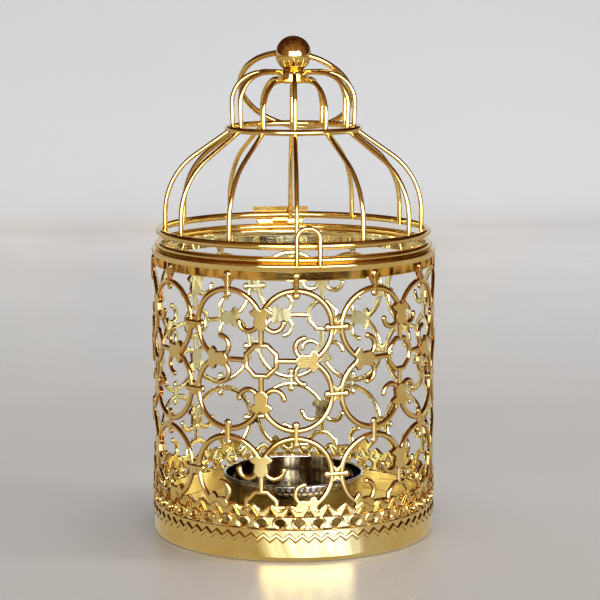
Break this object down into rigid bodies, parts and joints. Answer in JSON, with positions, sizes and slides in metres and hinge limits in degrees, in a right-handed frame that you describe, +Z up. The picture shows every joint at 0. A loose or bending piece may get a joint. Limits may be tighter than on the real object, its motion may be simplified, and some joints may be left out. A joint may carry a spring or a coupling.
{
  "type": "birdcage tealight lantern",
  "caption": "Round gold birdcage lantern of pierced filigree sheet with a hinged wire dome lid, a ball finial with a hanging ring, and a loose metal cup for a tealight.",
  "frame": {"origin": "middle of the foot circle on the table", "axes": "+Z up along the cage axis, -Y towards the catch, +Y towards the hinge"},
  "size_m": [0.0786, 0.0798, 0.1375],
  "materials": {
    "gold_sheet": "polished gold plate",
    "gold_wire": "polished gold plate",
    "bright_cup": "bright drawn"
  },
  "bodies": {
    "cage": {"cage_wall": "gold_sheet", "base_plate": "gold_sheet", "rim_ring": "gold_wire", "front_catch": "gold_wire", "hinge_lower_leaf": "gold_wire", "hinge_pin": "gold_wire"},
    "lid": {"lid_ring": "gold_wire", "waist_ring": "gold_wire", "crown_hub": "gold_wire", "finial_ball": "gold_wire", "hinge_upper_leaf": "gold_wire", "rib_01": "gold_wire", "rib_02": "gold_wire", "rib_03": "gold_wire", "rib_04": "gold_wire", "rib_05": "gold_wire", "rib_06": "gold_wire", "rib_07": "gold_wire", "rib_08": "gold_wire", "rib_09": "gold_wire", "rib_10": "gold_wire", "rib_11": "gold_wire", "rib_12": "gold_wire"},
    "hanging_ring": {"hanging_ring": "gold_wire"},
    "candle_cup": {"tealight_cup": "bright_cup"}
  },
  "joints": [
    {"name": "lid_hinge", "type": "hinge", "parent": "cage", "child": "lid", "pos_m": [0, 0.03928, 0.08238], "axis": [-1, 0, 0], "range_deg": [0, 110]},
    {"name": "ring_swing", "type": "hinge", "parent": "lid", "child": "hanging_ring", "pos_m": [0, 0, 0.13255], "axis": [0.9666, -0.241, -0.0872], "range_deg": [0, 255]},
    {"name": "cup_lift", "type": "slide", "parent": "cage", "child": "candle_cup", "axis": [0, 0, 1], "range_m": [0, 0.085]}
  ]
}
